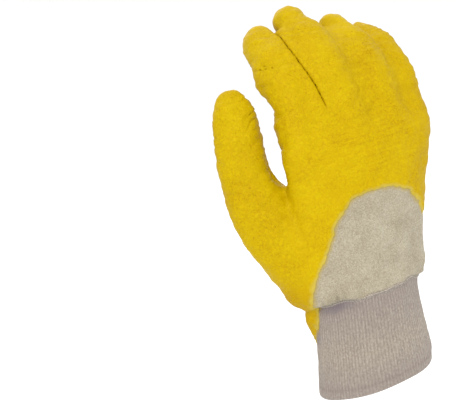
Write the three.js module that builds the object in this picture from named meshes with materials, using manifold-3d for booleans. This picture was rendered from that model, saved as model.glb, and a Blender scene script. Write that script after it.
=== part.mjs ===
// A latex coated grip glove for the right hand, worn open on a relaxed, half curled hand.
// Millimetres. The wrist opening's centre is the origin and +Z runs from the opening to the fingers.
// -Y is the back of the hand, +Y the palm, -X the thumb's side and +X the little finger's side.
import * as THREE from "three";
import { mergeVertices } from "three/addons/utils/BufferGeometryUtils.js";
import Module from "manifold-3d";

const wasm = await Module();
wasm.setup();

// Driving dimensions.
const cuffLength = 59; // ribbed wrist, from the hem to the wrist seam
const handLength = 115; // from the wrist seam to the knuckle end of the palm
const handWidth = 102; // across the palm just below the fingers
const handDepth = 35; // through the palm just below the fingers
const wristWidth = 73; // across the wrist seam
const wristDepth = 50; // through the wrist seam
const hemWidth = 84; // across the stretched hem
const hemDepth = 54; // through the stretched hem
const palmLean = 24; // how far the knuckles stand towards the little finger from the wrist's axis
const fingerLength = 133; // along the middle finger, from its root inside the palm to its tip
const fingerWidth = 26; // across the middle finger
const fingerDepth = 26; // through the middle finger, from its back to its pad
const thumbLength = 144; // along the thumb, from its root inside the palm to its tip
const thumbWidth = 40; // across the ball of the thumb
const thumbDepth = 34; // through the ball of the thumb
const fingerGap = 0.5; // between neighbouring fingers where they press together

const linerWall = 1.2; // cotton jersey
const coatWall = 1.2; // crinkled latex
const cuffWall = 2.4; // folded double rib, through its crests
const layerGap = 0.5; // from the jersey or the rib to the latex over it
const seamHeight = 1.8; // overlocked seam, up the hand
const seamWidth = 3; // overlocked seam, into the opening
const seamGap = 0.45; // from the seam to the jersey above it and the rib below it
const puckerHeight = 0.5; // how far the gathered seam waves up and down
const puckerCount = 7; // gathers round the seam
const seamRise = 5; // how much higher the seam runs over the back of the hand than over the palm
const ribCount = 48; // ribs round the cuff
const ribDepth = 0.5; // from a rib's crest to the groove beside it
const hemRound = 0.9; // rounding of the folded hem
const openingSlack = 6; // how far a hollow's cutter runs past an open end
const coatSkin = layerGap + coatWall; // from the jersey or the rib to the outside of the latex

const bodySides = 28; // corners round a palm section
const digitSides = 12; // corners round a finger section

// Palm sections from the seam to the knuckles. `up` is a share of the hand's length and `lean` of the
// palm's lean. `wrist` says how much of the section's size comes from the wrist and how much from the
// hand. `wide` is a share of that half width, and `back` and `front` are shares of that half depth.
// `wave` is how much of the gathered seam's rise and waves a section above the seam still follows.
const palmSections = [
  { up: 0.0, lean: 0.12, wrist: 1.0, wide: 1.055, back: 0.98, front: 0.98 },
  { up: 0.06, lean: 0.03, wrist: 1.0, wide: 1.13, back: 0.994, front: 1.022, wave: 0.6 },
  { up: 0.12, lean: 0.05, wrist: 0.7, wide: 1.111, back: 1.06, front: 1.123 },
  { up: 0.3, lean: 0.24, wrist: 0.35, wide: 1.022, back: 1.08, front: 1.148 },
  { up: 0.53, lean: 0.49, wrist: 0.1, wide: 0.988, back: 1.074, front: 1.112 },
  { up: 0.74, lean: 0.67, wrist: 0.0, wide: 1.02, back: 1.03, front: 1.0 },
  { up: 0.88, lean: 0.67, wrist: 0.0, wide: 0.97, back: 0.88, front: 0.84 },
  { up: 0.97, lean: 0.69, wrist: 0.0, wide: 0.84, back: 0.62, front: 0.58 },
];

// Digits. `up` places the root as a share of the hand's length, `across` and `lean` as shares of the
// hand's width and the palm's lean, and `out` as a share of the hand's depth. `wide` and `deep` are
// shares of the finger's or the thumb's size. Each bone has a `long` share of the finger's or thumb's
// length, a `lean` towards the thumb's side and a `bend` towards the palm, in degrees.
const digits = {
  index: { up: 0.66, lean: 0.71, across: -0.286, out: -0.03, wide: 0.954, deep: 0.954 },
  middle: { up: 0.66, lean: 0.71, across: 0.0, out: -0.143, wide: 1.02, deep: 1.0 },
  ring: { up: 0.609, lean: 0.71, across: 0.24, out: -0.143, wide: 1.04, deep: 0.98 },
  little: { up: 0.45, lean: 0.41, across: 0.36, out: -0.04, wide: 0.923, deep: 0.94 },
  thumb: { up: 0.113, lean: 0.06, across: -0.202, out: 0.114, wide: 1.0, deep: 1.0 },
};
const bones = {
  index: [
    { long: 0.462, lean: 7, bend: 8 },
    { long: 0.222, lean: -2, bend: 38 },
    { long: 0.256, lean: -11, bend: 60 },
  ],
  middle: [
    { long: 0.504, lean: 6, bend: 8 },
    { long: 0.241, lean: 3, bend: 38 },
    { long: 0.256, lean: 0, bend: 60 },
  ],
  ring: [
    { long: 0.47, lean: 0, bend: 10 },
    { long: 0.238, lean: -1, bend: 40 },
    { long: 0.256, lean: -1, bend: 62 },
  ],
  little: [
    { long: 0.565, lean: -15, bend: 9 },
    { long: 0.233, lean: 2, bend: 42 },
    { long: 0.241, lean: 6, bend: 60 },
  ],
  thumb: [
    { long: 0.333, lean: 37, bend: 8 },
    { long: 0.319, lean: 9, bend: 12 },
    { long: 0.347, lean: -5, bend: 8 },
  ],
};

// Sections along a digit. `bone` and `along` place each one, and the rest are shares of the digit's size.
const fingerSections = [
  { bone: 0, along: 0.0, wide: 0.4, back: 0.55, front: 0.35 },
  { bone: 0, along: 0.34, wide: 1.1, back: 1.05, front: 0.86 },
  { bone: 0, along: 0.6, wide: 1.12, back: 1.02, front: 1.04 },
  { bone: 0, along: 0.9, wide: 1.0, back: 1.0, front: 0.98 },
  { bone: 1, along: 0.12, wide: 0.97, back: 1.02, front: 0.84 },
  { bone: 1, along: 0.5, wide: 0.96, back: 0.94, front: 0.98 },
  { bone: 1, along: 0.98, wide: 0.93, back: 0.92, front: 0.8 },
  { bone: 2, along: 0.56, wide: 0.86, back: 0.82, front: 0.84 },
];
const thumbSections = [
  { bone: 0, along: 0.0, wide: 0.5, back: 0.6, front: 0.6 },
  { bone: 0, along: 0.28, wide: 1.12, back: 1.05, front: 1.18 },
  { bone: 0, along: 0.6, wide: 1.2, back: 1.0, front: 1.18 },
  { bone: 1, along: 0.02, wide: 1.18, back: 0.88, front: 1.0 },
  { bone: 1, along: 0.45, wide: 1.08, back: 0.78, front: 0.84 },
  { bone: 1, along: 0.9, wide: 0.95, back: 0.72, front: 0.7 },
  { bone: 2, along: 0.35, wide: 0.86, back: 0.7, front: 0.64 },
  { bone: 2, along: 0.68, wide: 0.7, back: 0.6, front: 0.56 },
];
const tipRings = 3; // sections that round off a fingertip
const bladeRings = 7; // sections along the gap between two fingers

// Webs between neighbouring fingers. `up` is a share of the hand's length.
const webs = [
  { from: "index", to: "middle", up: 0.99 },
  { from: "middle", to: "ring", up: 0.99 },
  { from: "ring", to: "little", up: 0.95 },
];

// Cuff sections from the hem to the seam. `up` is a share of the cuff's length, `flare` runs from the
// wrist's size to the hem's, and `lean` is a share of the palm's lean.
const cuffSections = [
  { up: 0.0, flare: 1.0, lean: 0 },
  { up: 0.2, flare: 0.9, lean: 0 },
  { up: 0.5, flare: 0.52, lean: 0.03 },
  { up: 0.8, flare: 0.12, lean: 0.09 },
  { up: 1.0, flare: 0.0, lean: 0.12 },
];

// Where the latex ends, from the little finger's side to the thumb's side. `across` is a share of the
// hand's half width from the opening's axis, and `up` a share of the length of hand and cuff together.
const backEdge = [
  { across: 1.558, up: 0.568 },
  { across: 1.008, up: 0.572 },
  { across: 0.948, up: 0.6 },
  { across: 0.878, up: 0.645 },
  { across: 0.778, up: 0.69 },
  { across: 0.588, up: 0.722 },
  { across: 0.398, up: 0.736 },
  { across: 0.158, up: 0.735 },
  { across: -0.042, up: 0.722 },
  { across: -0.192, up: 0.694 },
  { across: -0.312, up: 0.657 },
  { across: -0.412, up: 0.602 },
  { across: -0.522, up: 0.547 },
  { across: -0.622, up: 0.49 },
  { across: -0.692, up: 0.43 },
  { across: -0.702, up: 0.36 },
  { across: -0.642, up: 0.3 },
  { across: -0.652, up: 0.25 },
  { across: -0.742, up: 0.225 },
  { across: -1.442, up: 0.22 },
];
const palmEdge = [
  { across: 1.558, up: 0.568 },
  { across: 1.008, up: 0.55 },
  { across: 0.858, up: 0.51 },
  { across: 0.758, up: 0.43 },
  { across: 0.638, up: 0.335 },
  { across: 0.508, up: 0.275 },
  { across: 0.318, up: 0.235 },
  { across: 0.098, up: 0.175 },
  { across: -0.082, up: 0.142 },
  { across: -0.342, up: 0.14 },
  { across: -0.562, up: 0.155 },
  { across: -0.742, up: 0.2 },
  { across: -1.442, up: 0.22 },
];

const radians = THREE.MathUtils.degToRad;

// A closed surface through rings of equally many points, with a flat fan over each end.
function loft(rings) {
  const sides = rings[0].length;
  const points = rings.flat();
  const index = [];
  for (let r = 0; r + 1 < rings.length; r++) {
    for (let s = 0; s < sides; s++) {
      const a = r * sides + s;
      const b = r * sides + ((s + 1) % sides);
      index.push(a, b, b + sides, a, b + sides, a + sides);
    }
  }
  const fan = (ring, first, flip) => {
    const centre = ring.reduce((sum, p) => sum.add(p), new THREE.Vector3()).divideScalar(sides);
    points.push(centre);
    const c = points.length - 1;
    for (let s = 0; s < sides; s++) {
      const a = first + s;
      const b = first + ((s + 1) % sides);
      index.push(...(flip ? [c, b, a] : [c, a, b]));
    }
  };
  fan(rings[0], 0, true);
  fan(rings[rings.length - 1], (rings.length - 1) * sides, false);
  return new THREE.BufferGeometry().setFromPoints(points).setIndex(index);
}

function toSolid(geometry) {
  const bare = new THREE.BufferGeometry().setAttribute("position", geometry.getAttribute("position"));
  bare.setIndex(geometry.getIndex());
  const merged = mergeVertices(bare, 1e-4);
  return new wasm.Manifold(
    new wasm.Mesh({
      numProp: 3,
      vertProperties: merged.attributes.position.array,
      triVerts: new Uint32Array(merged.index.array),
    }),
  );
}

function toMesh(name, solid, material) {
  const made = solid.getMesh();
  const geometry = new THREE.BufferGeometry()
    .setAttribute("position", new THREE.BufferAttribute(Float32Array.from(made.vertProperties), 3))
    .setIndex(new THREE.BufferAttribute(Uint32Array.from(made.triVerts), 1));
  geometry.computeVertexNormals();
  const mesh = new THREE.Mesh(geometry, material);
  mesh.name = name;
  return mesh;
}

// An oval of points. `front` and `back` are its half depths towards and away from `palm`.
function oval(centre, side, palm, wide, back, front, sides, first = 0) {
  return Array.from({ length: sides }, (_, i) => {
    const turn = first + (2 * Math.PI * i) / sides;
    const deep = Math.sin(turn) > 0 ? front : back;
    return centre
      .clone()
      .addScaledVector(side, wide * Math.cos(turn))
      .addScaledVector(palm, deep * Math.sin(turn));
  });
}

const acrossHand = new THREE.Vector3(1, 0, 0);
const outOfPalm = new THREE.Vector3(0, 1, 0);

function bodyRing(section, grow, sides) {
  const ring = oval(
    new THREE.Vector3(section.x, 0, section.z),
    acrossHand,
    outOfPalm,
    section.wide + grow,
    section.back + grow,
    section.front + grow,
    sides,
  );
  if (section.wave) {
    ring.forEach((point, i) => {
      point.z += section.wave * pucker((2 * Math.PI * i) / sides);
    });
  }
  return ring;
}

// The gathered seam's height round the wrist, higher over the back and uneven as the gathers are.
function pucker(turn) {
  const gathers = Math.sin(puckerCount * turn) + 0.6 * Math.sin((puckerCount - 4) * turn + 1);
  return puckerHeight * gathers + (seamRise * (1 - Math.sin(turn))) / 2;
}

const jerseyEnd = cuffLength + seamHeight / 2 + seamGap; // lower edge of the jersey, at the seam
const ribEnd = cuffLength - seamHeight / 2 - seamGap; // upper edge of the rib, at the seam

const palmRows = palmSections.map((s, i) => {
  const width = THREE.MathUtils.lerp(handWidth, wristWidth, s.wrist);
  const depth = THREE.MathUtils.lerp(handDepth, wristDepth, s.wrist);
  return {
    x: s.lean * palmLean,
    z: i ? cuffLength + s.up * handLength : jerseyEnd,
    wide: (s.wide * width) / 2,
    back: (s.back * depth) / 2,
    front: (s.front * depth) / 2,
    wave: i ? s.wave ?? 0 : 1,
  };
});

function palmSolid(grow, below) {
  const rows = palmRows.map((row) => ({ ...row }));
  rows[rows.length - 1].z += grow;
  const end = { ...rows[0], z: rows[0].z - below };
  const rings = [bodyRing(end, grow - 2 * linerWall, bodySides)];
  if (below) {
    rings.push(bodyRing(end, grow, bodySides));
  }
  return toSolid(loft([...rings, ...rows.map((row) => bodyRing(row, grow, bodySides))]));
}

// The smooth line down the middle of a digit, and how far along it each bone starts.
function spineOf(name) {
  const digit = digits[name];
  const whole = name === "thumb" ? thumbLength : fingerLength;
  const across = digit.lean * palmLean + digit.across * handWidth;
  const at = new THREE.Vector3(across, digit.out * handDepth, cuffLength + digit.up * handLength);
  const points = [at.clone()];
  const starts = [0];
  for (const bone of bones[name]) {
    const lean = radians(bone.lean);
    const bend = radians(bone.bend);
    const flat = Math.cos(bend);
    const way = new THREE.Vector3(-Math.sin(lean) * flat, Math.sin(bend), Math.cos(lean) * flat);
    const length = bone.long * whole;
    points.push(at.clone().addScaledVector(way, length / 2));
    at.addScaledVector(way, length);
    starts.push(starts[starts.length - 1] + length);
  }
  points.push(at.clone());
  const end = starts[starts.length - 1];
  const curve = new THREE.CatmullRomCurve3(points, false, "centripetal");
  const shareOf = (s) => (starts[s.bone] + s.along * (starts[s.bone + 1] - starts[s.bone])) / end;
  return { curve, shareOf };
}

function digitSolid(name, grow) {
  const { curve, shareOf } = spineOf(name);
  const sections = name === "thumb" ? thumbSections : fingerSections;
  const half = {
    wide: (digits[name].wide * (name === "thumb" ? thumbWidth : fingerWidth)) / 2,
    deep: (digits[name].deep * (name === "thumb" ? thumbDepth : fingerDepth)) / 2,
  };
  const ringAt = (share, section, size, push) => {
    const way = curve.getTangentAt(share);
    const side = acrossHand.clone().addScaledVector(way, -acrossHand.dot(way)).normalize();
    const palm = new THREE.Vector3().crossVectors(way, side);
    const centre = curve.getPointAt(share).addScaledVector(way, push);
    const wide = size * (section.wide * half.wide + grow);
    const back = size * (section.back * half.deep + grow);
    const front = size * (section.front * half.deep + grow);
    return oval(centre, side, palm, wide, back, front, digitSides);
  };
  const rings = sections.map((s) => ringAt(shareOf(s), s, 1, 0));
  const last = sections[sections.length - 1];
  const tipStart = shareOf(last);
  for (let i = 1; i <= tipRings; i++) {
    const turn = (i / (tipRings + 0.35)) * (Math.PI / 2);
    const share = tipStart + (1 - tipStart) * Math.sin(turn);
    rings.push(ringAt(share, last, Math.cos(turn), grow * Math.sin(turn)));
  }
  return toSolid(loft(rings));
}

// The gap between two fingers, midway between them from the web up past the fingertips.
function gapBetween(web, half) {
  const near = spineOf(web.to).curve.getSpacedPoints(20 * bladeRings);
  const curve = spineOf(web.from).curve;
  const share = digits[web.from].wide / (digits[web.from].wide + digits[web.to].wide);
  const rings = [];
  for (let i = 0; i <= bladeRings; i++) {
    const at = curve.getPointAt(i / bladeRings);
    const way = curve.getTangentAt(i / bladeRings);
    const other = near.reduce((best, p) => (p.distanceTo(at) < best.distanceTo(at) ? p : best));
    const side = other.clone().sub(at).projectOnPlane(way).normalize();
    const palm = new THREE.Vector3().crossVectors(way, side);
    const centre = at.lerp(other, share).addScaledVector(way, i === bladeRings ? fingerWidth : 0);
    rings.push(oval(centre, side, palm, Math.SQRT2 * half, fingerDepth, fingerDepth, 4, Math.PI / 4));
  }
  return toSolid(loft(rings)).trimByPlane([0, 0, 1], cuffLength + web.up * handLength - half);
}

function handSolid(grow, below) {
  const half = coatSkin + fingerGap / 2 - grow;
  const joined = (solid, name) => solid.add(digitSolid(name, grow));
  const parted = (solid, web) => solid.subtract(gapBetween(web, half));
  return webs.reduce(parted, Object.keys(digits).reduce(joined, palmSolid(grow, below)));
}

function cuffRow(section) {
  const flare = (wrist, hem) => THREE.MathUtils.lerp(wrist, hem, section.flare) / 2;
  return {
    x: section.lean * palmLean,
    z: section.up * ribEnd,
    wide: flare(wristWidth, hemWidth),
    back: flare(wristDepth, hemDepth),
    front: flare(wristDepth, hemDepth),
    wave: section.up === 1 ? 1 : 0,
  };
}

// A plain cuff for the hollow and the latex over it. It runs on past the seam and the hem by `slack`.
function cuffSolid(grow, slack) {
  const rows = cuffSections.map(cuffRow);
  const hem = { ...rows[0], z: -slack };
  const top = { ...rows[rows.length - 1], z: ribEnd + slack };
  return toSolid(loft([hem, ...rows.slice(0, -1), top].map((row) => bodyRing(row, grow, bodySides))));
}

// The ribbed outside of the cuff, rounded in at the folded hem.
function ribbedSolid() {
  const rows = cuffSections.map(cuffRow);
  const hem = { ...rows[0] };
  rows[0].z = hemRound;
  const ribs = (row, grow) => {
    const crests = bodyRing(row, grow, 2 * ribCount);
    const grooves = bodyRing(row, grow - ribDepth, 2 * ribCount);
    return crests.map((crest, i) => (i % 2 ? grooves[i] : crest));
  };
  const top = ribs(rows[rows.length - 1], -1.5 * cuffWall);
  return toSolid(loft([ribs(hem, -hemRound), ...rows.map((row) => ribs(row, 0)), top]));
}

// A soft bead round the wrist between the jersey and the rib.
function seamSolid() {
  const row = { ...cuffRow(cuffSections[cuffSections.length - 1]), z: cuffLength };
  const profile = [
    { into: 0, up: 0 },
    { into: 0.25, up: -0.5 },
    { into: 0.75, up: -0.5 },
    { into: 1, up: 0 },
    { into: 0.75, up: 0.5 },
    { into: 0.25, up: 0.5 },
  ];
  const sides = bodySides;
  const ringAt = (p) => bodyRing({ ...row, z: row.z + p.up * seamHeight }, -p.into * seamWidth, sides);
  const rings = profile.map(ringAt);
  const index = [];
  for (let r = 0; r < rings.length; r++) {
    const next = (r + 1) % rings.length;
    for (let s = 0; s < sides; s++) {
      const after = (s + 1) % sides;
      const [a, b, c, d] = [r * sides + s, r * sides + after, next * sides + after, next * sides + s];
      index.push(a, c, b, a, d, c);
    }
  }
  return toSolid(new THREE.BufferGeometry().setFromPoints(rings.flat()).setIndex(index));
}

// Everything below an edge of the latex, from the middle of the hand outwards on one side of it.
function belowEdge(edge, side) {
  const span = cuffLength + handLength;
  const line = edge.map((e) => new THREE.Vector2((e.across * handWidth) / 2, e.up * span));
  const curve = new THREE.SplineCurve(line).getPoints(2 * line.length);
  const outline = new THREE.Shape([
    new THREE.Vector2(line[0].x, -2 * openingSlack),
    ...curve,
    new THREE.Vector2(line[line.length - 1].x, -2 * openingSlack),
  ]);
  const prism = new THREE.ExtrudeGeometry(outline, { depth: 2 * wristDepth, bevelEnabled: false });
  prism.rotateX(Math.PI / 2);
  prism.translate(0, side > 0 ? 2 * wristDepth - layerGap / 2 : layerGap / 2, 0);
  return toSolid(prism);
}

const coatInside = handSolid(layerGap, openingSlack - coatWall).add(cuffSolid(layerGap, openingSlack));
const coatOutside = handSolid(coatSkin, openingSlack).add(cuffSolid(coatSkin, openingSlack / 2));
const coatSolid = coatOutside
  .subtract(coatInside)
  .subtract(belowEdge(backEdge, -1))
  .subtract(belowEdge(palmEdge, 1));

const jersey = new THREE.MeshStandardMaterial({ color: 0xd9d0bb, roughness: 0.95, metalness: 0 });
const rib = new THREE.MeshStandardMaterial({ color: 0xb9ada6, roughness: 0.95, metalness: 0 });
const latex = new THREE.MeshStandardMaterial({ color: 0xd9b416, roughness: 0.7, metalness: 0 });
const thread = new THREE.MeshStandardMaterial({ color: 0x9d8f8c, roughness: 0.95, metalness: 0 });

const glove = new THREE.Group();
glove.add(toMesh("liner", handSolid(0, 0).subtract(handSolid(-linerWall, openingSlack)), jersey));
glove.add(toMesh("latex_coating", coatSolid, latex));
glove.add(toMesh("knit_wrist", ribbedSolid().subtract(cuffSolid(-cuffWall, openingSlack)), rib));
glove.add(toMesh("wrist_seam", seamSolid(), thread));

export default glove;
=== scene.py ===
import math

import bmesh
import bpy
import numpy as np
from mathutils import Matrix, Vector


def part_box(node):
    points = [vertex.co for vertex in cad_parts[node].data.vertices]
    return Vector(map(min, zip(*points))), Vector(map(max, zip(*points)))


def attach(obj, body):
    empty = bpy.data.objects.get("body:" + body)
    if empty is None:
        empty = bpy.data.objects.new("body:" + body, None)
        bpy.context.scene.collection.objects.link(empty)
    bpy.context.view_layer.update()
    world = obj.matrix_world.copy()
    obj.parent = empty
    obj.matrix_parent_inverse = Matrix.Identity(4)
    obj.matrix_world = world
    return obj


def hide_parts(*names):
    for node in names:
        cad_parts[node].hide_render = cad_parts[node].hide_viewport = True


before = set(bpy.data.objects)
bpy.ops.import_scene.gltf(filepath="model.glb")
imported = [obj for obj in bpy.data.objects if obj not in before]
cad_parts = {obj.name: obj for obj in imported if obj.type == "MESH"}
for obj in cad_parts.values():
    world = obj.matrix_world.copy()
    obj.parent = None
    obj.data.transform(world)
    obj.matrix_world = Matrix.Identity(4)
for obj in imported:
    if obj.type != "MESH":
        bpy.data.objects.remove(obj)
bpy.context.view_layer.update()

# Lengths are in mm unless they say metres. Each mesh is turned into metres when it is made.
MM = 0.001
SKIN_VOXEL = 1.86 * MM  # the hand's surface before it is subdivided once
RIM_CUT = 3.2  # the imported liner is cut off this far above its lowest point, past its rim
FILL_ROUNDS = 12  # rounds that fill the grooves between pressed fingers
COAT_LIFT = 1.5  # latex above the jersey
COAT_EDGE = 0.3  # latex above the jersey at its edge
COAT_FADE = 3.0  # how far in from its edge the latex reaches its full thickness
COAT_TUCK = 0.9  # how deep the latex's edge sinks into the cloth
LINER_WALL = 1.2
CUFF_WALL = 2.4
RIB_COUNT = 104
RIB_HEIGHT = 0.3
HEM_TILT = 1.9  # how much higher the hem is at the little finger's side
HEM_FOLD = 6.5  # height of the faint line where the folded hem ends
SEAM_RADIUS = 1.15
SEAM_UP = 59.0  # the seam's height over the palm
SEAM_RISE = 5.0  # how much higher it runs over the back of the hand
SEAM_CLEAR = 0.3  # from the seam's middle up to the jersey
JERSEY_UNDER = 6  # how far the fine jersey goes on under the latex
SHADE_TURN = 1.2 * math.pi  # where the jersey's corner shades the rib
ROUND_WRIST = 33.4  # mm of cloth round the wrist in one radian
ALBEDO = 0.74  # share of the photograph's colour that the cloth has in this light
PHOTO_SIZE = (459, 415)  # pixels
FLOOR_UP = -0.16  # metres
FLOOR_HALF = 200.0  # metres
GLOVE_MIDDLE = (0, 0, 0.12)  # metres

knit_low, knit_high = (np.array(c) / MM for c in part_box("knit_wrist"))
seam_low, seam_high = (np.array(c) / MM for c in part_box("wrist_seam"))
HEM_HALF = (knit_high - knit_low)[:2] / 2
WRIST_HALF = (seam_high - seam_low)[:2] / 2
WRIST_LEAN = (seam_high + seam_low)[0] / 2


# The camera.

def aim_camera():
    """The photograph's view: the back of the hand, from a little to the thumb's side and above."""
    turn, tilt, roll = (math.radians(a) for a in (-22, 13, -12))
    focal, distance = 1077.0, 0.700
    back = np.array([math.sin(turn) * math.cos(tilt), -math.cos(turn) * math.cos(tilt), math.sin(tilt)])
    right = np.array([math.cos(turn), math.sin(turn), 0.0])
    up = np.cross(back, right)
    right, up = right * math.cos(roll) + up * math.sin(roll), up * math.cos(roll) - right * math.sin(roll)
    target = np.array([0.00784, 0.0, 0.110])
    pixel = (357.0, 215.0)
    place = target - right * (pixel[0] - PHOTO_SIZE[0] / 2) / focal * distance
    place = place + up * (pixel[1] - PHOTO_SIZE[1] / 2) / focal * distance + back * distance
    camera = bpy.data.objects.new("camera", bpy.data.cameras.new("camera"))
    camera.data.sensor_width = 36
    camera.data.lens = 36 * focal / PHOTO_SIZE[0]
    camera.data.clip_start, camera.data.clip_end = 0.02, 400
    rows = [[right[i], up[i], back[i], place[i]] for i in range(3)] + [[0, 0, 0, 1]]
    camera.matrix_world = Matrix(rows)
    bpy.context.scene.collection.objects.link(camera)
    bpy.context.scene.camera = camera


aim_camera()


# Helpers.

def make_object(name, points, faces):
    mesh = bpy.data.meshes.new(name)
    mesh.from_pydata([tuple(p) for p in points], [], [tuple(int(i) for i in f) for f in faces])
    mesh.validate()
    mesh.shade_smooth()
    made = bpy.data.objects.new(name, mesh)
    bpy.context.scene.collection.objects.link(made)
    return made


def attribute(obj, name, values):
    made = obj.data.attributes.new(name, "FLOAT", "POINT")
    made.data.foreach_set("value", np.asarray(values, np.float32))


def read_mesh(mesh):
    points = np.zeros(len(mesh.vertices) * 3, np.float32)
    mesh.vertices.foreach_get("co", points)
    faces = [tuple(p.vertices) for p in mesh.polygons]
    return points.reshape(-1, 3).astype(float) / MM, faces


def evaluated(obj):
    """The object's mesh with its modifiers applied. The object itself goes."""
    bpy.context.view_layer.update()
    graph = bpy.context.evaluated_depsgraph_get()
    mesh = bpy.data.meshes.new_from_object(obj.evaluated_get(graph))
    bpy.data.objects.remove(obj)
    return mesh


def smoothstep(low, high, x):
    t = np.clip((x - low) / (high - low), 0, 1)
    return t * t * (3 - 2 * t)


def lattice(cells, seed):
    """A repeatable value from -1 to 1 for every corner of a grid."""
    h = cells[..., 0] * 374761393 + cells[..., 1] * 668265263 + cells[..., 2] * 2147483647 + seed * 144665
    h = (h ^ (h >> 13)) * 1274126177 & 0x7FFFFFFF
    h = (h ^ (h >> 16)) * 69069 & 0x7FFFFFFF
    return (h % 65536) / 32767.5 - 1


def noise3(points, seed=1):
    """Smooth noise from about -1 to 1 with features one unit across."""
    base = np.floor(points).astype(np.int64)
    t = points - base
    t = t * t * t * (t * (t * 6 - 15) + 10)
    out = 0
    for corner in range(8):
        step = np.array([corner & 1, (corner >> 1) & 1, (corner >> 2) & 1])
        weight = np.prod(np.where(step == 1, t, 1 - t), axis=1)
        out = out + weight * lattice(base + step, seed)
    return out * 1.6


def vertex_normals(points, faces):
    """Normals of a mesh of quads and triangles, weighted by area."""
    quads = np.array([f if len(f) == 4 else (*f, f[2]) for f in faces])
    a, b, c, d = (points[quads[:, i]] for i in range(4))
    flat = np.cross(c - a, d - b)
    normals = np.zeros_like(points)
    for i in range(4):
        for k in range(3):
            normals[:, k] += np.bincount(quads[:, i], flat[:, k], len(points))
    return normals / (np.linalg.norm(normals, axis=1)[:, None] + 1e-12)


def edges_of(faces):
    pairs = set()
    for f in faces:
        for i in range(len(f)):
            a, b = f[i], f[(i + 1) % len(f)]
            pairs.add((a, b) if a < b else (b, a))
    return np.array(sorted(pairs))


def tube_faces(rows, n):
    """Quads between rows of n points that each go once round."""
    return [
        (r * n + i, r * n + (i + 1) % n, (r + 1) * n + (i + 1) % n, (r + 1) * n + i)
        for r in range(rows - 1)
        for i in range(n)
    ]


def neighbours(edges, total):
    """Every edge both ways, and how many neighbours each point has."""
    both = np.concatenate([edges, edges[:, ::-1]])
    return both, np.bincount(both[:, 0], minlength=total)


def mean_of_neighbours(points, both, count):
    sums = [np.bincount(both[:, 0], points[both[:, 1], k], len(points)) for k in range(3)]
    return np.stack(sums, 1) / count[:, None]


def relaxed(points, edges, rounds, pull=0.5, push=0.0):
    """Each point moves to the mean of its neighbours, and back a little so that the form keeps its size."""
    both, count = neighbours(edges, len(points))
    for turn in range(2 * rounds if push else rounds):
        rate = push if push and turn % 2 else pull
        points = points + rate * (mean_of_neighbours(points, both, count) - points)
    return points


def wrist_oval(up):
    """Half width, half depth and centre of the knit wrist at a height in mm, from the hem to the seam."""
    share = np.clip(up / SEAM_UP, 0, 1.2)
    flare = np.interp(share, [0, 0.2, 0.5, 0.8, 1.0, 1.2], [1, 0.9, 0.52, 0.12, 0, 0])
    lean = np.interp(share, [0, 0.2, 0.5, 0.8, 1.0, 1.2], [0, 0, 0.25, 0.75, 1, 1])
    half = WRIST_HALF[None] + flare[:, None] * (HEM_HALF - WRIST_HALF)[None]
    return half[:, 0], half[:, 1], lean * WRIST_LEAN


def wrist_bulge(up, turn):
    """How far the stretched rib stands out of the plain oval on the two sides, in mm."""
    side = np.cos(turn)
    little_side = np.interp(up, [0, 6, 18, 30, 45, 60], [0, 1.3, 2.2, 1.5, 1.6, 2.6])
    thumb_side = np.interp(up, [0, 8, 20, 30, 42], [0, 1.0, 2.4, 2.0, 0])
    return little_side * np.maximum(side, 0) ** 2 - thumb_side * np.maximum(-side, 0) ** 2


def seam_wave(turn):
    """How far the gathered seam stands above SEAM_UP, in mm."""
    gathers = 0.7 * np.sin(5 * turn + 0.6) + 0.5 * np.sin(8 * turn + 2.0) + 0.3 * np.sin(13 * turn)
    return SEAM_RISE * (1 - np.sin(turn)) / 2 + gathers


def above_seam(points):
    """Height of each point above the seam below it, in mm."""
    turn = np.arctan2(points[:, 1] / WRIST_HALF[1], (points[:, 0] - WRIST_LEAN) / WRIST_HALF[0])
    return points[:, 2] - SEAM_UP - seam_wave(turn)


# Distance round the hand from the little finger's side, over the back, the thumb's side and the palm.
ROUND_HALF = (44.0, 21.0)
ROUND_X = 5.0
ROUND_TURNS = np.linspace(0, 2 * math.pi, 721)
ROUND_STEPS = np.hypot(ROUND_HALF[0] * np.sin(ROUND_TURNS), ROUND_HALF[1] * np.cos(ROUND_TURNS))
ROUND_ARCS = np.concatenate([[0], np.cumsum((ROUND_STEPS[1:] + ROUND_STEPS[:-1]) / 2 * np.diff(ROUND_TURNS))])
ROUND_ALL = ROUND_ARCS[-1]


def round_hand(x, y):
    turn = np.mod(-np.arctan2(y / ROUND_HALF[1], (x - ROUND_X) / ROUND_HALF[0]), 2 * math.pi)
    return np.interp(turn, ROUND_TURNS, ROUND_ARCS)


# Where the latex ends: x, y and height in mm, over the back and then back over the palm.
LATEX_EDGE = [
    (50.4, -8.5, 100), (45.4, -13.7, 113), (39.7, -16, 120), (30, -18, 125.5), (20, -19, 128),
    (7.4, -19, 128), (-3, -18, 126), (-9.7, -17.5, 120), (-16.5, -17.2, 115), (-21, -16.4, 105),
    (-27, -15.3, 95), (-33, -13.3, 86), (-37, -12, 77.7), (-39.6, -9.5, 68.5), (-38.5, -4, 59.2),
    (-37.7, -0.5, 48), (-37, 3, 40), (-38, 6, 36), (-37, 9.7, 32.5), (-33, 15, 27.5), (-28, 18, 24.5),
    (-21.4, 22, 23.6), (-14, 24, 22), (-6.4, 26, 24), (2.7, 26, 30), (12, 24.5, 36.5), (20.8, 22, 44),
    (27, 19, 51), (31.8, 15, 57.6), (37.7, 14.8, 74), (42.7, 13.5, 89.5), (50, 3, 97),
]


def edge_line():
    points = np.array(LATEX_EDGE, float)
    along = round_hand(points[:, 0], points[:, 1])
    along = np.unwrap(along * 2 * math.pi / ROUND_ALL) * ROUND_ALL / (2 * math.pi)
    return np.stack([along, points[:, 2]], 1)


EDGE = edge_line()


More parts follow.
